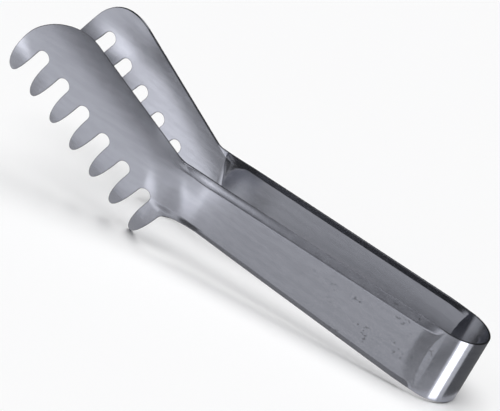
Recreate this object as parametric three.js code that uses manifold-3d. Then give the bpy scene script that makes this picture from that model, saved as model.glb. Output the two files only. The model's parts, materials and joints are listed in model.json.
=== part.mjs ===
// Spaghetti tongs, pressed from one strip of stainless sheet that is bent into a U.
//
// Strip frame: X runs along the arms towards the bow, whose centre is at 0. The two arms stand apart
// along Y, the front one at -Y. Z runs across the strip, with the teeth on its lower side. The finished
// group is turned a little about Y, so that it stands on its two last teeth and on the bow's lower edge.
import * as THREE from 'three';
import { mergeVertices } from 'three/addons/utils/BufferGeometryUtils.js';
import Module from 'manifold-3d';

const wasm = await Module();
wasm.setup();

// Driving dimensions, in millimetres and degrees
const sheetThickness = 0.8;
const bowOuterRadius = 12.4;
const bowWidth = 26.4;          // strip width around the bow
const neckWidth = 20.4;         // strip width at the neck
const taperStart = 9;           // the taper begins this far from the bow
const armLength = 112.8;        // from the bow's centre to the bend of the neck
const armSpread = 0.9;          // lean of each arm away from the middle plane
const crownAngle = 90;          // part of the bow's half circle that is the crown piece
const flankWidth = 3;           // turned-in flanks along both edges of an arm
const panelDepth = 1.8;         // how far the web between the flanks is pressed outwards
const panelRunOut = 7;          // length over which the panel runs out at the bow
const panelNeckInset = 4.6;     // the panel stops this far short of the neck's bend
const neckBendRadius = 10;
const neckBlend = 18;           // length over which the flat strip turns into the curved jaw
const jawTilt = 24.25;          // upward tilt of the jaw against the arm
const jawFlare = 4.9;           // lean of the jaw away from the middle plane
const jawCurveRadius = 36;      // curl of the jaw across its width
const jawEndRadius = 19;
const palmWidth = 17;           // from the jaw's spine edge to the ends of the slots
const toothCount = 7;
const toothPitch = 12.3;
const toothWidth = 6.8;         // at the root
const toothLength = 20.5;       // from the slot's end to the tip
const toothTipRadius = 1.9;
const toothTaper = 12;          // lean of a tooth's sides where they meet the round tip
const firstToothExtra = 0.9;    // extra width on the outer side of the first tooth
const lastToothPastNeck = 7.5;  // the last tooth stands this far past the neck's bend, towards the bow
const lastToothFillet = 3;      // rounding between the last tooth and the arm, on the tooth's side
const lastToothSweep = 6;       // and along the arm's lower edge
const pieceGap = 0.3;

// Fineness of the facets
const bowStep = 7.5;            // degrees
const runOutSteps = 3;
const curveSteps = 5;
const neckSteps = 7;
const fanSteps = 8;
const jawSteps = 3;
const webSteps = 4;             // across an arm's web
const rowCount = 14;            // across a jaw
const fanWiden = 0.4;           // share of the fan in which its rows spread to the jaw's full width
const curlReach = 0.8;          // the curl ends at this share of its radius
const cutMargin = 1.2;          // the formed sheet stands this far past the outline that cuts it
const mergeDistance = 1e-5;

const { degToRad, lerp, clamp, smoothstep } = THREE.MathUtils;
const spread = degToRad(armSpread);
const tilt = degToRad(jawTilt);
const taper = Math.atan((bowWidth - neckWidth) / 2 / (armLength - taperStart));

const satinSteel = { color: 0x9a9ba6, roughness: 0.32, metalness: 1 };

function evenly(from, to, steps) {
  return Array.from({ length: steps + 1 }, (_, i) => lerp(from, to, i / steps));
}

// The strip: outward distance from the middle plane of its edge line, half its width, and its round bow
const middleRadius = bowOuterRadius - sheetThickness / 2;
const bendStart = new THREE.Vector2(Math.sin(spread), Math.cos(spread)).multiplyScalar(middleRadius);
const edgeOut = (x) => bendStart.y + (bendStart.x - x) * Math.tan(spread);
const halfWidth = (x) => bowWidth / 2 - Math.max(0, -x - taperStart) * Math.tan(taper);

// The pressed panel: 1 on its flat web, which has a round end at the neck, and 0 on the strip's edges and on
// the shoulder across the neck, with sloping flanks between them and a run-out at the bow
const panelShoulder = panelNeckInset - armLength;
const panelRoundCentre = panelShoulder + neckWidth / 2;
function panelShare(x, z) {
  const pastWeb = Math.hypot(Math.min(0, x - panelRoundCentre), z) - (halfWidth(x) - flankWidth);
  const inside = Math.max(0, Math.min(halfWidth(x) - Math.abs(z), x - panelShoulder));
  const flank = pastWeb > 0 ? inside / (inside + pastWeb) : 1;
  return clamp(Math.min(flank, (bendStart.x - x) / panelRunOut), 0, 1);
}

// The jaw's own axes in the strip's X-Z plane: p towards the bow, from the neck's bend, and r towards the
// spine, from the ends of the slots
const neckCorner = new THREE.Vector2(-armLength, neckWidth / 2);
const along = new THREE.Vector2(Math.cos(tilt), -Math.sin(tilt));
const across = new THREE.Vector2(Math.sin(tilt), Math.cos(tilt));
function fromJaw(p, r) {
  return neckCorner.clone().addScaledVector(along, p).addScaledVector(across, r - palmWidth);
}
function toJaw(x, z) {
  const offset = new THREE.Vector2(x, z).sub(neckCorner);
  return new THREE.Vector2(offset.dot(along), offset.dot(across) + palmWidth);
}

// Outward distance of the sheet's middle surface: the arm's panel, the curved jaw and the blend between them
function curl(r) {
  const reach = Math.min(Math.abs(r), curlReach * jawCurveRadius);
  return jawCurveRadius - Math.sqrt(jawCurveRadius ** 2 - reach ** 2);
}

function sheetOut(x, z) {
  const { x: p, y: r } = toJaw(x, z);
  const crest = edgeOut(-armLength) + curl(palmWidth) - p * Math.tan(degToRad(jawFlare));
  const jaw = crest - curl(Math.min(r, palmWidth));
  const level = lerp(jaw, edgeOut(x), smoothstep(x, -armLength, neckBlend - armLength));
  return lerp(level, edgeOut(x) + panelDepth, panelShare(x, z));
}

// A closed sheet of even thickness around a grid of points on its middle surface
function sheetSolid(grid) {
  const last = [grid.length - 1, grid[0].length - 1];
  const at = (i, j) => grid[clamp(i, 0, last[0])][clamp(j, 0, last[1])];
  const positions = [];
  for (const side of [1, -1]) {
    grid.forEach((row, i) => row.forEach((point, j) => {
      const lengthwise = at(i + 1, j).clone().sub(at(i - 1, j));
      const crosswise = at(i, j + 1).clone().sub(at(i, j - 1));
      const normal = lengthwise.cross(crosswise).normalize();
      positions.push(...point.clone().addScaledVector(normal, side * sheetThickness / 2).toArray());
    }));
  }
  const columns = last[1] + 1;
  const layer = (last[0] + 1) * columns;
  const index = [];
  const quad = (a, b, c, d) => index.push(a, b, c, a, c, d);
  for (let i = 0; i < last[0]; i++) {
    for (let j = 0; j < last[1]; j++) {
      const corner = i * columns + j;
      quad(corner, corner + columns, corner + columns + 1, corner + 1);
      quad(layer + corner, layer + corner + 1, layer + corner + columns + 1, layer + corner + columns);
    }
  }
  const rim = (a, b) => quad(b, a, layer + a, layer + b);
  for (let j = 0; j < last[1]; j++) {
    rim(j + 1, j);
    rim(last[0] * columns + j, last[0] * columns + j + 1);
  }
  for (let i = 0; i < last[0]; i++) {
    rim(i * columns, (i + 1) * columns);
    rim((i + 1) * columns + last[1], i * columns + last[1]);
  }
  const geometry = new THREE.BufferGeometry();
  geometry.setAttribute('position', new THREE.Float32BufferAttribute(positions, 3));
  geometry.setIndex(index);
  return geometry;
}

// A point of the strip at the angle from the crown round the bow, and rows of points across it
const bowPoint = (angle, z) => new THREE.Vector3(
  middleRadius * Math.cos(angle), -middleRadius * Math.sin(angle), z);
const sheetPoint = (x, z) => new THREE.Vector3(x, -sheetOut(x, z), z);

function crossRows(x) {
  const half = halfWidth(x);
  const web = evenly(flankWidth - half, half - flankWidth, webSteps);
  return [-half, flankWidth / 2 - half, ...web, half - flankWidth / 2, half];
}

// Crown of the bow
const crownHalf = degToRad(crownAngle) / 2;
const gapAngle = pieceGap / middleRadius;
const degreesOf = (angle) => THREE.MathUtils.radToDeg(angle);
const bowAngles = (from, to) => evenly(from, to, Math.ceil(degreesOf(Math.abs(to - from)) / bowStep));

function crownGeometry() {
  const reach = crownHalf - gapAngle / 2;
  return sheetSolid(bowAngles(-reach, reach).map((angle) => crossRows(0).map((z) => bowPoint(angle, z))));
}

// Arm: the rest of the bow on its side, the run-out of the panel, and the long tapering channel
function armGeometry() {
  const bend = bowAngles(crownHalf + gapAngle / 2, Math.PI / 2 - spread);
  const bent = bend.map((angle) => crossRows(0).map((z) => bowPoint(angle, z)));
  const runOut = evenly(bendStart.x, bendStart.x - panelRunOut, runOutSteps).slice(1);
  const stations = [...runOut, -taperStart, -armLength / 2, panelRoundCentre + pieceGap];
  const straight = stations.map((x) => crossRows(x).map((z) => sheetPoint(x, z)));
  return sheetSolid([...bent, ...straight]);
}

// Outline of the jaw piece in the jaw's axes: top edge, neck bend, spine, round end, teeth and lower edge
const toothCentre = (i) => lastToothPastNeck - (toothCount - 1 - i) * toothPitch;
const rootRadius = (toothPitch - toothWidth) / 2;
const neckSetback = neckBendRadius * Math.tan((tilt + taper) / 2);

function toothSide(path, centre, half, turn, towardsTip, rootLevel = -rootRadius) {
  const lean = degToRad(toothTaper);
  const tip = new THREE.Vector2(turn * Math.cos(lean), -Math.sin(lean)).multiplyScalar(toothTipRadius);
  tip.add(new THREE.Vector2(centre, toothTipRadius - toothLength));
  const root = new THREE.Vector2(centre + turn * half, rootLevel);
  const control = new THREE.Vector2(root.x, tip.y + Math.abs(root.x - tip.x) / Math.tan(lean));
  const end = towardsTip ? tip : root;
  path.lineTo(...(towardsTip ? root : tip).toArray());
  path.quadraticCurveTo(control.x, control.y, end.x, end.y);
}

function roundCorner(path, corner, from, to, before, after) {
  const start = corner.clone().addScaledVector(from, -before);
  const end = corner.clone().addScaledVector(to, after);
  path.lineTo(start.x, start.y);
  path.quadraticCurveTo(corner.x, corner.y, end.x, end.y);
}

function jawOutline() {
  const edgeAt = (x, side) => toJaw(x, side * halfWidth(x));
  const neck = toJaw(neckCorner.x, neckCorner.y);
  const topEnd = edgeAt(panelRoundCentre, 1);
  const lowerEnd = edgeAt(panelRoundCentre, -1);
  const topDirection = neck.clone().sub(topEnd).normalize();
  const lowerDirection = lowerEnd.clone().sub(edgeAt(-armLength, -1)).normalize();
  const lastSide = toothCentre(toothCount - 1) + toothWidth / 2;
  const backToSide = (lastSide - lowerEnd.x) / lowerDirection.x;
  const lastCorner = lowerEnd.clone().addScaledVector(lowerDirection, backToSide);
  const jawEnd = toothCentre(0) - toothWidth / 2 - firstToothExtra;
  const endRadius = Math.min(jawEndRadius, palmWidth + rootRadius);
  const lean = degToRad(toothTaper);
  const lastRoot = Math.min(-rootRadius, lastCorner.y - lastToothFillet);

  const path = new THREE.Shape();
  path.moveTo(topEnd.x, topEnd.y);
  roundCorner(path, neck, topDirection, new THREE.Vector2(-1, 0), neckSetback, neckSetback);
  path.lineTo(jawEnd + endRadius, palmWidth);
  path.absarc(jawEnd + endRadius, palmWidth - endRadius, endRadius, Math.PI / 2, Math.PI, false);
  for (let i = 0; i < toothCount; i++) {
    const centre = toothCentre(i);
    toothSide(path, centre, toothWidth / 2 + (i === 0 ? firstToothExtra : 0), -1, true);
    const tipCentre = toothTipRadius - toothLength;
    path.absarc(centre, tipCentre, toothTipRadius, Math.PI + lean, 2 * Math.PI - lean, false);
    if (i < toothCount - 1) {
      toothSide(path, centre, toothWidth / 2, 1, false);
      path.absarc(centre + toothPitch / 2, -rootRadius, rootRadius, Math.PI, 0, true);
    } else {
      toothSide(path, centre, toothWidth / 2, 1, false, lastRoot);
    }
  }
  roundCorner(path, lastCorner, new THREE.Vector2(0, 1), lowerDirection, lastToothFillet, lastToothSweep);
  path.lineTo(lowerEnd.x, lowerEnd.y);
  path.closePath();
  return path;
}

// Lines across the jaw piece on which its middle surface is laid out: parallel along the arm and along the
// jaw, and fanned out between them round the centre of the neck's bend
function jawStations() {
  const fanCentre = new THREE.Vector2(-neckSetback, palmWidth + neckBendRadius);
  const armDirection = new THREE.Vector2(Math.cos(tilt), Math.sin(tilt));
  const armSpan = panelRoundCentre + armLength - neckSetback + cutMargin;
  const jawSpan = fanCentre.x - toothCentre(0) + toothWidth + cutMargin;
  const jawRows = evenly(-cutMargin, palmWidth + toothLength + cutMargin, rowCount - 1);
  const armWidth = halfWidth(panelRoundCentre) * 2;
  const flankRows = [flankWidth / 2, neckWidth - flankWidth / 2];
  const edgeRows = [-cutMargin, armWidth + cutMargin];
  const webRows = rowCount - flankRows.length - edgeRows.length;
  const web = evenly(flankWidth, neckWidth - flankWidth, webRows - 1);
  const armRows = [edgeRows[0], flankRows[0], ...web, flankRows[1], edgeRows[1]];
  const station = (shift, angle, widen) => {
    const start = fanCentre.clone().add(shift);
    const down = new THREE.Vector2(Math.sin(angle), -Math.cos(angle));
    const depth = (row, k) => neckBendRadius + lerp(row, jawRows[k], widen);
    return armRows.map((row, k) => start.clone().addScaledVector(down, depth(row, k)));
  };
  const still = new THREE.Vector2();
  const armStation = (e) => station(armDirection.clone().multiplyScalar(e), tilt, 0);
  const fanStation = (t) => station(still, t * tilt, clamp((1 - t) / fanWiden, 0, 1));
  const jawStation = (e) => station(new THREE.Vector2(-e, 0), 0, 1);
  return [
    ...evenly(armSpan, 0, neckSteps).map(armStation),
    ...evenly(1, 0, fanSteps).slice(1).map(fanStation),
    ...evenly(0, jawSpan, jawSteps).slice(1).map(jawStation),
  ];
}

// Booleans on closed geometries
function toManifold(geometry) {
  const plain = geometry.clone();
  plain.deleteAttribute('normal');
  plain.deleteAttribute('uv');
  const merged = mergeVertices(plain, mergeDistance);
  return new wasm.Manifold(new wasm.Mesh({
    numProp: 3,
    vertProperties: new Float32Array(merged.attributes.position.array),
    triVerts: new Uint32Array(merged.index.array),
  }));
}

function fromManifold(solid) {
  const mesh = solid.getMesh();
  const geometry = new THREE.BufferGeometry();
  geometry.setAttribute('position', new THREE.BufferAttribute(new Float32Array(mesh.vertProperties), 3));
  geometry.setIndex(new THREE.BufferAttribute(new Uint32Array(mesh.triVerts), 1));
  return geometry;
}

// Jaw: the formed sheet of neck, palm and teeth, cut by the outline
function jawGeometry() {
  const grid = jawStations().map((row) => row.map((point) => {
    const { x, y: z } = fromJaw(point.x, point.y);
    return sheetPoint(x, z);
  }));
  const cutDepth = 2 * (edgeOut(-armLength) + armLength);
  const cut = { depth: cutDepth, bevelEnabled: false, curveSegments: curveSteps };
  const blank = new THREE.ExtrudeGeometry(jawOutline(), cut);
  const slotEnd = fromJaw(0, 0);
  blank.rotateX(Math.PI / 2).rotateY(tilt).translate(slotEnd.x, 0, slotEnd.y);
  return fromManifold(toManifold(sheetSolid(grid)).intersect(toManifold(blank)));
}

// The other half of the strip: the mirror image across the middle plane, its faces turned to point outwards
function mirrored(geometry) {
  const copy = geometry.clone().scale(1, -1, 1);
  const index = copy.index.array;
  for (let i = 0; i < index.length; i += 3) {
    [index[i], index[i + 1]] = [index[i + 1], index[i]];
  }
  return copy;
}

function piece(name, geometry) {
  const shaded = geometry.clone();
  shaded.computeVertexNormals();
  const mesh = new THREE.Mesh(shaded, new THREE.MeshStandardMaterial(satinSteel));
  mesh.name = name;
  return mesh;
}

const arm = armGeometry();
const jaw = jawGeometry();
const strip = new THREE.Group();
strip.add(
  piece('spring_bow', crownGeometry()),
  piece('front_arm', arm),
  piece('front_jaw', jaw),
  piece('rear_arm', mirrored(arm)),
  piece('rear_jaw', mirrored(jaw)),
);

// Stand the tongs on the tips of the last teeth and the bow's lower edge, with the origin under their middle
const lastTip = fromJaw(toothCentre(toothCount - 1), -toothLength);
strip.rotation.y = Math.atan2(-bowWidth / 2 - lastTip.y, bowOuterRadius - lastTip.x);
strip.updateMatrixWorld(true);
const box = new THREE.Box3().setFromObject(strip, true);
strip.position.set(-(box.min.x + box.max.x) / 2, -(box.min.y + box.max.y) / 2, -box.min.z);

const tongs = new THREE.Group();
tongs.name = 'spaghetti_tongs';
tongs.add(strip);

export default tongs;
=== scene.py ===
import json
import math

import bmesh
import bpy
from mathutils import Matrix, Vector
from mathutils.geometry import interpolate_bezier
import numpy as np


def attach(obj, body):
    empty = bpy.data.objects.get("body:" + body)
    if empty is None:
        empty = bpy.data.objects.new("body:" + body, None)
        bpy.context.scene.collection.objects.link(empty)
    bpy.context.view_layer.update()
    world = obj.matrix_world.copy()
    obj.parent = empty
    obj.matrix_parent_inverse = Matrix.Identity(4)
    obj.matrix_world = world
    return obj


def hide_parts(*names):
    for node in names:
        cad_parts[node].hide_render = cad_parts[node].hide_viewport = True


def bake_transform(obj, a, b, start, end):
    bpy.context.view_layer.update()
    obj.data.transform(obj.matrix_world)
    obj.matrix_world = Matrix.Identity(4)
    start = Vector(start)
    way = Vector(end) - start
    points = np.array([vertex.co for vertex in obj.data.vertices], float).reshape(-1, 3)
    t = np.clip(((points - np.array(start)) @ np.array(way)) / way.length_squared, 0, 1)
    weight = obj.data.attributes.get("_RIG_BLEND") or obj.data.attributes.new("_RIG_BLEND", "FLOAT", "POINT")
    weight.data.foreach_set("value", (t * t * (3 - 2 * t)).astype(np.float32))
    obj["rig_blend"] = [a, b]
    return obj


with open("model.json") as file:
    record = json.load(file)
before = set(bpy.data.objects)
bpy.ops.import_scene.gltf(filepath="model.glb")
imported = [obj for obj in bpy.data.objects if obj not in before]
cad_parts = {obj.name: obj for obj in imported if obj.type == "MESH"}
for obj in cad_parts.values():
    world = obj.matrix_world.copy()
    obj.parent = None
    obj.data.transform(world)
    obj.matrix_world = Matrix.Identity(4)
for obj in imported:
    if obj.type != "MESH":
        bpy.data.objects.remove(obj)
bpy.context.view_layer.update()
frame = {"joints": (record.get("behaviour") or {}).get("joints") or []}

mm = 0.001

# The strip as it is pressed, in millimetres and degrees, in its own frame: x along the arms towards the
# bow, whose centre is at 0, and z across the strip, with the teeth on the lower side
strip = dict(
    thickness=0.8, edgeRounding=0.2, edgeBand=0.9,
    bowRadius=12.4, bowWidth=26.4, crownAngle=90,
    armLength=112.8, armSpread=0.9, taperStart=9, neckWidth=20.4, neckBendRadius=10, neckBlend=18,
    flankWidth=3, panelDepth=1.8, panelNeckInset=4.6, creaseFrom=0.8, creaseBy=50,
    panelRunOut=9, runOutFrom=0.1, runOutCurve=2.6, outerEase=14, outerRise=24,
)
jaw = dict(
    tilt=24.25, flare=4.9, curveRadius=36, curlReach=0.8, endRadius=19, palmWidth=17,
    teeth=7, pitch=12.3, toothWidth=6.8, toothLength=20.5,
    tipLean=0.3, sideShare=0.5, tipShare=0.64, firstExtra=0.9,
    lastPastNeck=7.5, lastFillet=3, lastSweep=6,
)
spread = math.radians(strip["armSpread"])
tilt = math.radians(jaw["tilt"])
middleRadius = strip["bowRadius"] - strip["thickness"] / 2
bendStart = Vector((math.sin(spread), math.cos(spread))) * middleRadius
narrowing = (strip["bowWidth"] - strip["neckWidth"]) / 2 / (strip["armLength"] - strip["taperStart"])
neckCorner = Vector((-strip["armLength"], strip["neckWidth"] / 2))
alongJaw = Vector((math.cos(tilt), -math.sin(tilt)))
acrossJaw = Vector((math.sin(tilt), math.cos(tilt)))
crownHalf = math.radians(strip["crownAngle"]) / 2
seamAt = bendStart.x + middleRadius * (math.pi / 2 - spread - crownHalf)
crownMiddle = seamAt + crownHalf * middleRadius

# The first hinge of the frame gives the turn and the place of the standing tongs
hinge = frame["joints"][0]
hingeAxis = -Vector(hinge["axis"])
standingTurn = Matrix.Rotation(math.atan2(hingeAxis.x, hingeAxis.z), 4, "Y")
hingeInStrip = Vector((math.cos(crownHalf), -math.sin(crownHalf), 0)) * middleRadius * mm
standing = Matrix.Translation(Vector(hinge["pos_m"]) - standingTurn @ hingeInStrip) @ standingTurn


def clamp(value):
    return min(1.0, max(0.0, value))


def ease(value):
    t = clamp(value)
    return t * t * (3 - 2 * t)


def evenly(start, end, step):
    count = max(1, round(abs(end - start) / step))
    return [start + (end - start) * i / count for i in range(count + 1)]


def halfWidth(x):
    return strip["bowWidth"] / 2 - max(0.0, -x - strip["taperStart"]) * narrowing


def webHalf(x):
    return halfWidth(x) - strip["flankWidth"]


def edgeOut(x):
    return bendStart.y + (bendStart.x - x) * math.tan(spread)


def fromJaw(p, r):
    return neckCorner + alongJaw * p + acrossJaw * (r - jaw["palmWidth"])


def toJaw(x, z):
    offset = Vector((x, z)) - neckCorner
    return offset.dot(alongJaw), offset.dot(acrossJaw) + jaw["palmWidth"]


def curl(r):
    reach = min(abs(r), jaw["curlReach"] * jaw["curveRadius"])
    return jaw["curveRadius"] - math.sqrt(jaw["curveRadius"] ** 2 - reach ** 2)


# The web between the flanks meets them in a rounded crease and runs out towards the bow on a curved line.
# On the inner face it ends at the neck in a full round, short of a straight shoulder, and on the outer face
# it rises softly out of the palm
roundCentre = strip["panelNeckInset"] - strip["armLength"] + strip["neckWidth"] / 2
shoulder = roundCentre - strip["neckWidth"] / 2


def creased(share, start):
    past = max(0.0, share - start)
    return (share - past * past / (1 - start) / 2) * 2 / (1 + start)


def innerShare(x, z):
    toEdge, toShoulder = halfWidth(x) - abs(z), x - shoulder
    if min(toEdge, toShoulder) <= 0:
        return 0.0
    pastWeb = math.hypot(min(0.0, x - roundCentre), z) - webHalf(x)
    inside = toEdge * toShoulder / (toEdge ** 3 + toShoulder ** 3) ** (1 / 3)
    return creased(inside / (inside + max(0.0, pastWeb)), strip["creaseFrom"])


def outerShare(x, z):
    flank = clamp((halfWidth(x) - abs(z)) / strip["flankWidth"])
    sharpness = ease((x - shoulder) / strip["creaseBy"])
    pressed = ease(flank) + (creased(flank, strip["creaseFrom"]) - ease(flank)) * sharpness
    return pressed * ease((x - shoulder + strip["outerEase"]) / strip["outerRise"])


def runOut(x, z):
    end = bendStart.x - strip["runOutCurve"] * (1 - (z / halfWidth(x)) ** 2)
    return creased(clamp((end - x) / strip["panelRunOut"]), strip["runOutFrom"])


def sheetOut(x, z, webShare):
    p, r = toJaw(x, z)
    crest = edgeOut(-strip["armLength"]) + curl(jaw["palmWidth"]) - p * math.tan(math.radians(jaw["flare"]))
    palm = crest - curl(min(r, jaw["palmWidth"]))
    level = palm + (edgeOut(x) - palm) * ease((x + strip["armLength"]) / strip["neckBlend"])
    return level + (edgeOut(x) + strip["panelDepth"] - level) * webShare(x, z) * runOut(x, z)


# A point of the front half's middle surface, as one face of the sheet needs it: u runs along the flat strip
# and round the bow
def formed(u, z, webShare):
    if u <= bendStart.x:
        return Vector((u, -sheetOut(u, z, webShare), z))
    angle = math.pi / 2 - spread - (u - bendStart.x) / middleRadius
    return Vector((middleRadius * math.cos(angle), -middleRadius * math.sin(angle), z))


def outward(u, z, webShare):
    step = 0.02
    lengthwise = formed(u + step, z, webShare) - formed(u - step, z, webShare)
    return lengthwise.cross(formed(u, z + step, webShare) - formed(u, z - step, webShare)).normalized()


# Drawing an outline: each stroke goes on from a vertex and gives back the vertex at its end
def lineTo(bm, pen, point):
    end = bmesh.ops.extrude_vert_indiv(bm, verts=[pen])["verts"][0]
    end.co = (point[0], point[1], 0)
    return end


def curveTo(bm, pen, first, second, end, steps):
    points = interpolate_bezier(pen.co, *(Vector((*point, 0)) for point in (first, second, end)), steps + 1)
    for point in points[1:]:
        pen = lineTo(bm, pen, point)
    return pen


def arcTo(bm, pen, centre, angle, steps):
    turned = bmesh.ops.spin(bm, geom=[pen], cent=(*centre, 0), axis=(0, 0, 1), angle=angle, steps=steps)
    return next(g for g in turned["geom_last"] if isinstance(g, bmesh.types.BMVert))


def cornerTo(bm, pen, corner, before, after, steps):
    reach = 2 / 3  # of the way to the corner
    pen = lineTo(bm, pen, before)
    return curveTo(bm, pen, before.lerp(corner, reach), after.lerp(corner, reach), after, steps)


blank = dict(
    overhang=1.5, curveSteps=24, arcSteps=12, endSteps=72, longestEdge=0.9,
    roundingStep=0.3, snap=0.01, trimSnap=1e-4,
)


# Outline of half the strip from past the seam at the bow: top edge, neck, spine, end, teeth and lower edge
def drawHalf(bm):
    steps = blank["curveSteps"]
    tail = seamAt + blank["overhang"]
    pen = start = bm.verts.new((tail, strip["bowWidth"] / 2, 0))
    pen = lineTo(bm, pen, (-strip["taperStart"], strip["bowWidth"] / 2))
    topDirection = (neckCorner - Vector((-strip["taperStart"], strip["bowWidth"] / 2))).normalized()
    setback = strip["neckBendRadius"] * math.tan((tilt + math.atan(narrowing)) / 2)
    bendTo, bendOn = neckCorner - topDirection * setback, fromJaw(-setback, jaw["palmWidth"])
    pen = cornerTo(bm, pen, neckCorner, bendTo, bendOn, steps)

    root = (jaw["pitch"] - jaw["toothWidth"]) / 2
    firstTooth = jaw["lastPastNeck"] - (jaw["teeth"] - 1) * jaw["pitch"]
    jawEnd = firstTooth - jaw["toothWidth"] / 2 - jaw["firstExtra"]
    endRadius = min(jaw["endRadius"], jaw["palmWidth"] + root)
    pen = lineTo(bm, pen, fromJaw(jawEnd + endRadius, jaw["palmWidth"]))
    endCentre = fromJaw(jawEnd + endRadius, jaw["palmWidth"] - endRadius)
    pen = arcTo(bm, pen, endCentre, math.pi / 2, blank["endSteps"])

    for i in range(jaw["teeth"]):
        centre = firstTooth + i * jaw["pitch"]
        outer = jaw["toothWidth"] / 2 + (jaw["firstExtra"] if i == 0 else 0)
        inner = jaw["toothWidth"] / 2
        tip = centre - jaw["tipLean"]
        level = -root - jaw["sideShare"] * (jaw["toothLength"] - root)
        outerTip, innerTip = (
            fromJaw(tip + half * jaw["tipShare"], -jaw["toothLength"]) for half in (-outer, inner))
        tipEnd = fromJaw(tip, -jaw["toothLength"])
        pen = lineTo(bm, pen, fromJaw(centre - outer, -root))
        pen = curveTo(bm, pen, fromJaw(centre - outer, level), outerTip, tipEnd, steps)
        if i < jaw["teeth"] - 1:
            slotSide, slotRoot = (fromJaw(centre + inner, r) for r in (level, -root))
            pen = curveTo(bm, pen, innerTip, slotSide, slotRoot, steps)
            pen = arcTo(bm, pen, fromJaw(centre + jaw["pitch"] / 2, -root), -math.pi, blank["arcSteps"])

    side = centre + inner  # of the last tooth, which sweeps into the arm's lower edge
    lowNeck, lowTail = ((x, -halfWidth(x)) for x in (-strip["armLength"], -strip["taperStart"]))
    lowDirection = (Vector(lowTail) - Vector(lowNeck)).normalized()
    low = toJaw(*lowNeck)
    lowStep = Vector((lowDirection.dot(alongJaw), lowDirection.dot(acrossJaw)))
    corner = Vector(low) + lowStep * ((side - low[0]) / lowStep.x)
    filletAt = corner.y - jaw["lastFillet"]
    pen = curveTo(bm, pen, innerTip, fromJaw(side, level), fromJaw(side, min(-root, filletAt)), steps)
    sweepEnd = fromJaw(*(corner + lowStep * jaw["lastSweep"]))
    pen = cornerTo(bm, pen, fromJaw(*corner), fromJaw(side, filletAt), sweepEnd, steps)
    pen = lineTo(bm, pen, lowTail)
    pen = lineTo(bm, pen, (tail, -strip["bowWidth"] / 2))
    bm.edges.new((pen, start))
    bmesh.ops.remove_doubles(bm, verts=bm.verts[:], dist=blank["snap"])


# The blank is cut with its arms straightened to the bow's width and then narrowed again, so that cuts along
# the strip follow its flanks
widestWeb = webHalf(0)


def rescaled(z, fromWeb, toWeb):
    across = abs(z) * toWeb / fromWeb if abs(z) <= fromWeb else abs(z) - fromWeb + toWeb
    return math.copysign(across, z)


def cutAcross(bm, at, direction):
    everything = bm.verts[:] + bm.edges[:] + bm.faces[:]
    bmesh.ops.bisect_plane(
        bm, geom=everything, dist=blank["snap"], plane_co=Vector(direction) * at, plane_no=direction)


def trimEnd(bm, at, direction):
    everything = bm.verts[:] + bm.edges[:] + bm.faces[:]
    bmesh.ops.bisect_plane(
        bm, geom=everything, dist=blank["trimSnap"], plane_co=(at, 0, 0), plane_no=direction, clear_outer=True)


# A flat blank from its outline: rounded rim first, then the cuts along which it bends
def cutBlank(bm, ends, lengthCuts, acrossCuts):
    for edge in [e for e in bm.edges if e.calc_length() > blank["longestEdge"]]:
        bmesh.ops.subdivide_edges(bm, edges=[edge], cuts=round(edge.calc_length() / blank["longestEdge"]))
    face = bmesh.ops.contextual_create(bm, geom=bm.edges[:])["faces"][0]
    rimDepth = bm.verts.layers.float.new("rimDepth")
    reached = 0
    for depth in (blank["roundingStep"] * strip["edgeRounding"], strip["edgeRounding"], strip["edgeBand"]):
        step = depth - reached
        bmesh.ops.inset_region(bm, faces=[face], thickness=step, use_even_offset=True, use_boundary=True)
        reached = depth
        for vert in face.verts:
            vert[rimDepth] = reached
    for at, direction in ends:
        trimEnd(bm, at, direction)
    for vert in bm.verts:
        vert.co.y = rescaled(vert.co.y, webHalf(vert.co.x), widestWeb)
    for at in lengthCuts:
        cutAcross(bm, at, (1, 0, 0))
    for at in acrossCuts:
        cutAcross(bm, at, (0, 1, 0))
    for vert in bm.verts:
        vert.co.y = rescaled(vert.co.y, widestWeb, webHalf(vert.co.x))


# Bends the blank into shape and gives it its thickness, with a UV map in metres on the flat strip
def pressBlank(bm):
    rimDepth = bm.verts.layers.float["rimDepth"]
    # cutEdge is 1 at the sheet's edge and falls to 0 across the edge band; the steel uses it to paint the edge
    # near black, a painted dark reflection
    cutEdge = bm.verts.layers.float.new("cutEdge")
    facing = bm.verts.layers.float_vector.new("facing")
    sheetUv = bm.loops.layers.uv.new("sheet")
    for face in bm.faces:
        for loop in face.loops:
            loop[sheetUv].uv = loop.vert.co.xy * mm
    extruded = bmesh.ops.extrude_face_region(bm, geom=bm.faces[:], use_keep_orig=True)["geom"]
    outer = {g for g in extruded if isinstance(g, bmesh.types.BMVert)}
    rounding = strip["edgeRounding"]
    for vert in bm.verts:
        u, z = vert.co.xy
        side, webShare = (1, outerShare) if vert in outer else (-1, innerShare)
        drop = rounding - math.sqrt(rounding ** 2 - max(0.0, rounding - vert[rimDepth]) ** 2)
        vert[facing] = outward(u, z, webShare) * side
        vert[cutEdge] = 1 - vert[rimDepth] / strip["edgeBand"]
        vert.co = formed(u, z, webShare) + vert[facing] * (strip["thickness"] / 2 - drop)
    bm.normal_update()
    bmesh.ops.recalc_face_normals(bm, faces=bm.faces[:])


# The sheet's faces and its cut edge look flat, and only the rounding between them is shaded round
def vertexNormal(vert, facing, rimDepth):
    faceFrom = 0.99 * strip["edgeRounding"]  # a little less, as stored depths are rounded
    if vert[rimDepth] > faceFrom:
        return facing
    cut = [face.normal for face in vert.link_faces if all(v[rimDepth] == 0 for v in face.verts)]
    return sum(cut, Vector()).normalized() if vert[rimDepth] == 0 else Vector()


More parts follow.
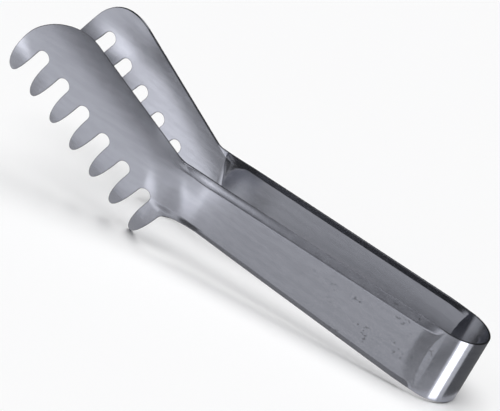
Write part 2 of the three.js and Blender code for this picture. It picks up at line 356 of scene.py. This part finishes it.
def stripPiece(name, bm, mirror=False):
    side = Matrix.Scale(-1, 4, (0, 1, 0)) if mirror else Matrix.Identity(4)
    bmesh.ops.transform(bm, matrix=standing @ side @ Matrix.Scale(mm, 4), verts=bm.verts[:])
    if mirror:
        bmesh.ops.reverse_faces(bm, faces=bm.faces[:])
        sheetUv = bm.loops.layers.uv["sheet"]
        for loop in (loop for face in bm.faces for loop in face.loops):
            loop[sheetUv].uv.x = 2 * crownMiddle * mm - loop[sheetUv].uv.x
    rimDepth = bm.verts.layers.float["rimDepth"]
    facing = bm.verts.layers.float_vector["facing"]
    turn = (standing @ side).to_3x3()
    bm.normal_update()
    normals = [vertexNormal(v, turn @ v[facing], rimDepth) for v in bm.verts]
    mesh = bpy.data.meshes.new(name)
    bm.to_mesh(mesh)
    bm.free()
    for spare in ("rimDepth", "facing"):
        mesh.attributes.remove(mesh.attributes[spare])
    mesh.shade_smooth()
    mesh.normals_split_custom_set_from_vertices(normals)
    piece = bpy.data.objects.new(name, mesh)
    bpy.context.scene.collection.objects.link(piece)
    return piece


# Spacing of the cuts, and how far they keep clear of lines that are there already
cuts = dict(bow=0.55, runOut=0.4, arm=8, neck=0.5, palm=1.2, flank=0.25, web=1.4, comb=1.2)
clear = dict(seam=0.3, bend=0.2, formed=1, round=3, armStart=3, armEnd=4, rim=0.3, web=0.5, crease=0.25)


def makeHalf():
    bm = bmesh.new()
    drawHalf(bm)
    runOutEnd = bendStart.x - strip["panelRunOut"] - strip["runOutCurve"] - clear["formed"]
    neckFrom, neckTo = roundCentre + clear["round"], shoulder - strip["outerEase"] - clear["formed"]
    tipLine = fromJaw(-strip["armLength"], 0).x
    lengthCuts = [
        *evenly(seamAt - clear["seam"], bendStart.x, cuts["bow"]),
        *evenly(bendStart.x - clear["bend"], runOutEnd, cuts["runOut"]),
        *evenly(runOutEnd - clear["armStart"], neckFrom + clear["armEnd"], cuts["arm"]),
        *evenly(neckFrom, neckTo, cuts["neck"]),
        *evenly(neckTo - clear["formed"], tipLine, cuts["palm"]),
    ]
    half, flank = strip["bowWidth"] / 2, strip["flankWidth"]
    web = evenly(flank + clear["web"] - half, half - flank - clear["web"], cuts["web"])
    flanks = evenly(half - flank - clear["crease"], half - clear["rim"], cuts["flank"])
    combReach = jaw["palmWidth"] + jaw["toothLength"] + strip["armLength"] * math.sin(tilt)
    comb = evenly(half + clear["web"], combReach, cuts["comb"])
    cutBlank(bm, [(seamAt, (1, 0, 0))], lengthCuts, [*web, *flanks, *comb, *(-v for v in flanks + comb)])
    pressBlank(bm)
    return bm


def makeBow():
    bm = bmesh.new()
    far = seamAt + 2 * crownHalf * middleRadius
    low, high = seamAt - blank["overhang"], far + blank["overhang"]
    half = strip["bowWidth"] / 2
    pen = start = bm.verts.new((low, -half, 0))
    for point in ((high, -half), (high, half), (low, half)):
        pen = lineTo(bm, pen, point)
    bm.edges.new((pen, start))
    lengthCuts = evenly(seamAt + clear["seam"], far - clear["seam"], cuts["bow"])
    acrossCuts = evenly(clear["web"] - half, half - clear["web"], cuts["web"])
    cutBlank(bm, [(seamAt, (-1, 0, 0)), (far, (1, 0, 0))], lengthCuts, acrossCuts)
    pressBlank(bm)
    return bm


# Satin steel, brushed along the strip so that lights spread across it. Noise sizes are per metre of sheet,
# along the strip and across it, and handled says where along it the scuffs fade in and out, in metres
finish = dict(
    dark=(0.385, 0.395, 0.446), light=(0.415, 0.425, 0.479), toneBand=(0.36, 0.64),
    streaks=dict(size=(45, 520), detail=1, share=0.55),
    clouds=dict(size=(240, 420), detail=2, share=0.45),
    handled=(-0.062, -0.03, -0.004, 0.012),
    scuffs=dict(size=(1500, 1700), detail=2, band=(0.5, 0.72), share=0.6, color=(0.5, 0.51, 0.56)),
    patches=dict(size=(110, 150), detail=2, band=(0.56, 0.66)),
    specks=dict(size=(620, 900), detail=2, band=(0.58, 0.68), share=0.55, color=(0.1, 0.1, 0.11)),
    # Painted dark reflection: the cut edge and its rounding are painted near black
    cut=dict(band=(0.66, 0.9), share=0.9, color=(0.014, 0.014, 0.016)),
    roughness=(0.24, 0.26), roughBand=(0.2, 0.55), roughClouds=0.7, roughScuffs=0.25,
    brushing=0.7, brushingTurn=0.25,
)


def satinSteel():
    material = bpy.data.materials.new("satin_steel")
    material.use_nodes = True
    nodes, links = material.node_tree.nodes, material.node_tree.links
    shader = nodes["Principled BSDF"]
    shader.inputs["Metallic"].default_value = 1
    shader.inputs["Anisotropic"].default_value = finish["brushing"]
    shader.inputs["Anisotropic Rotation"].default_value = finish["brushingTurn"]
    sheet = nodes.new("ShaderNodeUVMap")
    sheet.uv_map = "sheet"

    def noise(look):
        stretch = nodes.new("ShaderNodeMapping")
        stretch.inputs["Scale"].default_value = (*look["size"], 1)
        links.new(sheet.outputs["UV"], stretch.inputs["Vector"])
        pattern = nodes.new("ShaderNodeTexNoise")
        pattern.noise_dimensions = "2D"
        pattern.inputs["Scale"].default_value = 1
        pattern.inputs["Detail"].default_value = look["detail"]
        links.new(stretch.outputs["Vector"], pattern.inputs["Vector"])
        return pattern.outputs["Fac"]

    def between(value, low, high, fromMin, fromMax):
        spreadOut = nodes.new("ShaderNodeMapRange")
        spreadOut.interpolation_type = "SMOOTHSTEP"
        limits = {"From Min": fromMin, "From Max": fromMax, "To Min": low, "To Max": high}
        for socket, number in limits.items():
            spreadOut.inputs[socket].default_value = number
        links.new(value, spreadOut.inputs["Value"])
        return spreadOut.outputs["Result"]

    def combine(operation, a, b):
        node = nodes.new("ShaderNodeMath")
        node.operation = operation
        links.new(a, node.inputs[0])
        if isinstance(b, float):
            node.inputs[1].default_value = b
        else:
            links.new(b, node.inputs[1])
        return node.outputs["Value"]

    def tint(share, base, color):
        node = nodes.new("ShaderNodeMix")
        node.data_type = "RGBA"
        links.new(share, node.inputs["Factor"])
        if isinstance(base, tuple):
            node.inputs["A"].default_value = (*base, 1)
        else:
            links.new(base, node.inputs["A"])
        node.inputs["B"].default_value = (*color, 1)
        return node.outputs["Result"]

    place = nodes.new("ShaderNodeSeparateXYZ")
    links.new(sheet.outputs["UV"], place.inputs["Vector"])

    def along(fadeIn, fullFrom, fullTo, fadeOut):
        return combine("MULTIPLY", between(place.outputs["X"], 0, 1, fadeIn, fullFrom),
                       between(place.outputs["X"], 1, 0, fullTo, fadeOut))

    def spots(look):
        return between(noise(look), 0, 1, *look["band"])

    handled = along(*finish["handled"])
    streaks, clouds = noise(finish["streaks"]), noise(finish["clouds"])
    tone = combine("ADD", combine("MULTIPLY", streaks, finish["streaks"]["share"]),
                   combine("MULTIPLY", clouds, finish["clouds"]["share"]))
    color = tint(between(tone, 0, 1, *finish["toneBand"]), finish["dark"], finish["light"])
    scuffed = combine("MULTIPLY", handled, spots(finish["scuffs"]))
    color = tint(combine("MULTIPLY", scuffed, finish["scuffs"]["share"]), color, finish["scuffs"]["color"])
    patches = combine("MULTIPLY", handled, spots(finish["patches"]))
    specks = combine("MULTIPLY", patches, spots(finish["specks"]))
    color = tint(combine("MULTIPLY", specks, finish["specks"]["share"]), color, finish["specks"]["color"])
    # Painted dark reflection: the sheet's cut edge and its rounding are painted near black, fading out a
    # little way inside the rim
    edge = nodes.new("ShaderNodeAttribute")
    edge.attribute_name = "cutEdge"
    cut = between(edge.outputs["Fac"], 0, finish["cut"]["share"], *finish["cut"]["band"])
    links.new(tint(cut, color, finish["cut"]["color"]), shader.inputs["Base Color"])
    wear = combine("ADD", combine("MULTIPLY", clouds, finish["roughClouds"]),
                   combine("MULTIPLY", scuffed, finish["roughScuffs"]))
    rough = between(wear, *finish["roughness"], *finish["roughBand"])
    links.new(rough, shader.inputs["Roughness"])
    brushed = nodes.new("ShaderNodeTangent")
    brushed.direction_type = "UV_MAP"
    brushed.uv_map = "sheet"
    links.new(brushed.outputs["Tangent"], shader.inputs["Tangent"])
    return material


steel = satinSteel()
print("steel ready,", len(steel.node_tree.nodes), "nodes")

frontHalf = stripPiece("front_strip", makeHalf())
rearHalf = stripPiece("rear_strip", makeHalf(), mirror=True)
bow = stripPiece("bow_strip", makeBow())
for piece in (frontHalf, rearHalf, bow):
    piece.data.materials.append(steel)
    print(piece.name, len(piece.data.vertices), "vertices", len(piece.data.polygons), "faces")

# The sheet bends between the crown's edges and the ends of the bow, on both sides
crownEdge = Vector((math.cos(crownHalf), math.sin(crownHalf))) * middleRadius
bendFrom = {side: standing @ (Vector((crownEdge.x, side * crownEdge.y, 0)) * mm) for side in (-1, 1)}
bendEnd = {side: standing @ (Vector((bendStart.x, side * bendStart.y, 0)) * mm) for side in (-1, 1)}
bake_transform(frontHalf, "bow", "front_half", start=bendFrom[-1], end=bendEnd[-1])
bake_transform(rearHalf, "bow", "rear_half", start=bendFrom[1], end=bendEnd[1])
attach(bow, "bow")
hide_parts("front_arm", "front_jaw")
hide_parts("rear_arm", "rear_jaw")
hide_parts("spring_bow")

# Camera in the strip's frame, in millimetres and degrees, as the photograph was taken
view = dict(azimuth=17.63, elevation=25.836, roll=26.91, eye=(86.2, -546.0, 281.3), lens=125.885, sensor=36)


def placeCamera():
    azimuth, elevation, roll = (math.radians(view[k]) for k in ("azimuth", "elevation", "roll"))
    back = Vector((math.sin(azimuth) * math.cos(elevation), -math.cos(azimuth) * math.cos(elevation),
                   math.sin(elevation)))
    level = Vector((math.cos(azimuth), math.sin(azimuth), 0))
    upright = back.cross(level)
    right = level * math.cos(roll) + upright * math.sin(roll)
    pose = Matrix((right, back.cross(right), back)).transposed().to_4x4()
    pose.translation = Vector(view["eye"]) * mm
    data = bpy.data.cameras.new("camera")
    data.lens = view["lens"]
    data.sensor_width = view["sensor"]
    data.sensor_fit = "HORIZONTAL"
    camera = bpy.data.objects.new("camera", data)
    bpy.context.scene.collection.objects.link(camera)
    camera.matrix_world = standing @ pose
    bpy.context.scene.camera = camera


placeCamera()
print("camera placed")

# A pale floor under a soft studio dome, in metres. Each panel of the dome faces the tongs from a direction
# in degrees, round them from the right, the camera's side being below 0, and up
studio = dict(
    floorRadius=3, floorSides=64, floorColor=(0.96, 0.96, 0.96), floorRoughness=0.9, dim=(0.05, 0.051, 0.056),
    panels=[
        dict(around=-90, up=88, breadth=24, softness=8, light=4.9),
        dict(around=-88, up=2, breadth=16, softness=14, light=0.35),
        dict(around=-145, up=18, breadth=24, softness=14, light=0.42),
        dict(around=-128, up=44, breadth=12, softness=10, light=0.55),
    ],
    # Cards close to the steel, which it shows as its lights and darks, in the strip's frame: each is a
    # length of cylinder, from start to end in degrees
    cards=dict(
        bowLight=dict(centre=(0, 0), radius=15, start=-58.2, end=-42.2, low=-20, high=40, light=3.4),
        bowGlow=dict(centre=(0, 0), radius=15.5, start=-61.6, end=-40.6, low=-20, high=40, light=1.1),
        bowDark=dict(centre=(0, 0), radius=16, start=-29, end=115, low=-20, high=40, light=0.17),
        webLight=dict(centre=(-50, 900), radius=911, start=-93.2, end=-87.5, low=-9, high=9, light=0.62),
        farLight=dict(centre=(-152, 888), radius=900, start=-92.2, end=-88, low=-30, high=4, light=1.45),
        neckCard=dict(centre=(-112, -10), radius=38, start=-104, end=-85, low=26, high=46, light=0.8),
        jawLight=dict(centre=(-168, 22), radius=95, start=-129, end=-115, low=-45, high=-5, light=2.5),
    ),
    # and mats on the floor, from start to end along the strip and from near to far across it. The mats are
    # painted reflections: patches of floor, darker or brighter than the floor itself, that only the steel
    # shows. The dark ones between the halves, at the near arm's foot and under the teeth are painted shade
    # standing for the floor's shade there
    mats=dict(
        # Painted shade: the floor between the halves, seen almost black in the steel
        shadeBetweenArms=dict(start=-124, end=8, near=-9, far=28, light=0.03),
        # Painted shade at the near arm's foot, seen in the steel
        shadeAtNearFoot=dict(start=-103, end=-3.2, near=-19, far=-9.2, light=0.3),
        armMat=dict(start=-103, end=-3.2, near=-110, far=-19.2, light=0.62),
        bowMat=dict(start=-3, end=50, near=-70, far=-33.2, light=0.22),
        bowSideMat=dict(start=-3, end=24, near=-33, far=-16, light=0.5),
        neckLight=dict(start=-130, end=-118.7, near=-115, far=-57, light=2.15),
        neckMat=dict(start=-118.5, end=-103.2, near=-110, far=-38.2, light=0.66),
        underMat=dict(start=-112.5, end=-103.2, near=-38, far=-9.2, light=0.12),
        tongueMat=dict(start=-124, end=-112.7, near=-38, far=-22.2, light=0.7),
        farMat=dict(start=-190, end=-124.2, near=-9, far=20, light=0.4),
        jawMat=dict(start=-215, end=-190.2, near=-9, far=30, light=0.3),
        # Painted shade under the near jaw's teeth, seen in the steel
        shadeUnderTeeth=dict(start=-235, end=-112.7, near=-22, far=-9.2, light=0.55),
        tipMat=dict(start=-240, end=-198, near=-52, far=-22.2, light=0.62),
    ),
    matHeight=0.3, cardSteps=24,
)


def layFloor():
    mesh = bpy.data.meshes.new("floor")
    bm = bmesh.new()
    bmesh.ops.create_circle(bm, cap_ends=True, radius=studio["floorRadius"], segments=studio["floorSides"])
    bm.to_mesh(mesh)
    bm.free()
    floor = bpy.data.objects.new("floor", mesh)
    bpy.context.scene.collection.objects.link(floor)
    paint = bpy.data.materials.new("floor_paint")
    paint.use_nodes = True
    shader = paint.node_tree.nodes["Principled BSDF"]
    shader.inputs["Base Color"].default_value = (*studio["floorColor"], 1)
    shader.inputs["Roughness"].default_value = studio["floorRoughness"]
    shader.inputs["Specular IOR Level"].default_value = 0
    mesh.materials.append(paint)


def lightStudio():
    world = bpy.data.worlds.new("studio")
    bpy.context.scene.world = world
    world.use_nodes = True
    nodes, links = world.node_tree.nodes, world.node_tree.links
    place = nodes.new("ShaderNodeTexCoord")
    total = None
    for panel in studio["panels"]:
        around, up = math.radians(panel["around"]), math.radians(panel["up"])
        facing = nodes.new("ShaderNodeVectorMath")
        facing.operation = "DOT_PRODUCT"
        facing.inputs[1].default_value = (
            math.cos(around) * math.cos(up), math.sin(around) * math.cos(up), math.sin(up))
        links.new(place.outputs["Generated"], facing.inputs[0])
        soft = nodes.new("ShaderNodeMapRange")
        soft.interpolation_type = "SMOOTHSTEP"
        darkFrom, fullTo = panel["breadth"] + panel["softness"], max(0, panel["breadth"] - panel["softness"])
        soft.inputs["From Min"].default_value = math.cos(math.radians(darkFrom))
        soft.inputs["From Max"].default_value = math.cos(math.radians(fullTo))
        soft.inputs["To Max"].default_value = panel["light"]
        links.new(facing.outputs["Value"], soft.inputs["Value"])
        if total is None:
            total = soft.outputs["Result"]
        else:
            both = nodes.new("ShaderNodeMath")
            links.new(total, both.inputs[0])
            links.new(soft.outputs["Result"], both.inputs[1])
            total = both.outputs["Value"]
    glow = nodes.new("ShaderNodeMixRGB")
    glow.blend_type = "ADD"
    glow.inputs["Fac"].default_value = 1
    glow.inputs["Color1"].default_value = (*studio["dim"], 1)
    links.new(total, glow.inputs["Color2"])
    links.new(glow.outputs["Color"], nodes["Background"].inputs["Color"])


# A card shows only in the steel: it is bent round the place that it lights, and shows on that side alone
def standCard(name, card):
    bm = bmesh.new()
    turn = Matrix.Rotation(math.radians(card["start"]), 4, "Z")
    centre = Vector((*card["centre"], 0))
    low, high = (
        bm.verts.new(centre + turn @ Vector((card["radius"], 0, card[k]))) for k in ("low", "high"))
    edge = bm.edges.new((low, high))
    angle = math.radians(card["end"] - card["start"])
    bmesh.ops.spin(
        bm, geom=[low, high, edge], cent=centre, axis=(0, 0, 1), angle=angle, steps=studio["cardSteps"])
    bm.normal_update()
    away = [face for face in bm.faces if face.normal.dot(face.calc_center_median() - centre) > 0]
    bmesh.ops.reverse_faces(bm, faces=away)
    bmesh.ops.transform(bm, matrix=standing @ Matrix.Scale(mm, 4), verts=bm.verts[:])
    finishCard(name, bm, card["light"])


# A mat lies just above the floor, and shows only in the steel too, as a painted reflection of floor darker or
# brighter than the floor itself
def layMat(name, card):
    bm = bmesh.new()
    corners = bmesh.ops.create_grid(bm, x_segments=1, y_segments=1, size=0.5)["verts"]
    length, width = card["end"] - card["start"], card["far"] - card["near"]
    middle = Vector(((card["start"] + card["end"]) / 2, (card["near"] + card["far"]) / 2, 0))
    bmesh.ops.scale(bm, vec=(length, width, 1), verts=corners)
    bmesh.ops.translate(bm, vec=middle, verts=corners)
    bmesh.ops.transform(bm, matrix=standing @ Matrix.Scale(mm, 4), verts=corners)
    for vert in corners:
        vert.co.z = studio["matHeight"] * mm
    finishCard(name, bm, card["light"])


def finishCard(name, bm, light):
    mesh = bpy.data.meshes.new(name)
    bm.to_mesh(mesh)
    bm.free()
    material = bpy.data.materials.new(name)
    material.use_nodes = True
    shader = material.node_tree.nodes["Principled BSDF"]
    shader.inputs["Base Color"].default_value = (0, 0, 0, 1)
    shader.inputs["Specular IOR Level"].default_value = 0
    shader.inputs["Emission Color"].default_value = (1, 1, 1, 1)
    shader.inputs["Emission Strength"].default_value = light
    side = material.node_tree.nodes.new("ShaderNodeNewGeometry")
    front = material.node_tree.nodes.new("ShaderNodeMath")
    front.operation = "SUBTRACT"
    front.inputs[0].default_value = 1
    material.node_tree.links.new(side.outputs["Backfacing"], front.inputs[1])
    material.node_tree.links.new(front.outputs["Value"], shader.inputs["Alpha"])
    material.cycles.emission_sampling = "NONE"
    mesh.materials.append(material)
    piece = bpy.data.objects.new(name, mesh)
    bpy.context.scene.collection.objects.link(piece)
    piece.visible_camera = piece.visible_diffuse = piece.visible_shadow = False


layFloor()
lightStudio()
for name, card in studio["cards"].items():
    standCard(name, card)
for name, card in studio["mats"].items():
    layMat(name, card)
print("studio set,", len(studio["cards"]), "cards and", len(studio["mats"]), "mats")

bpy.context.scene.view_settings.view_transform = "Standard"
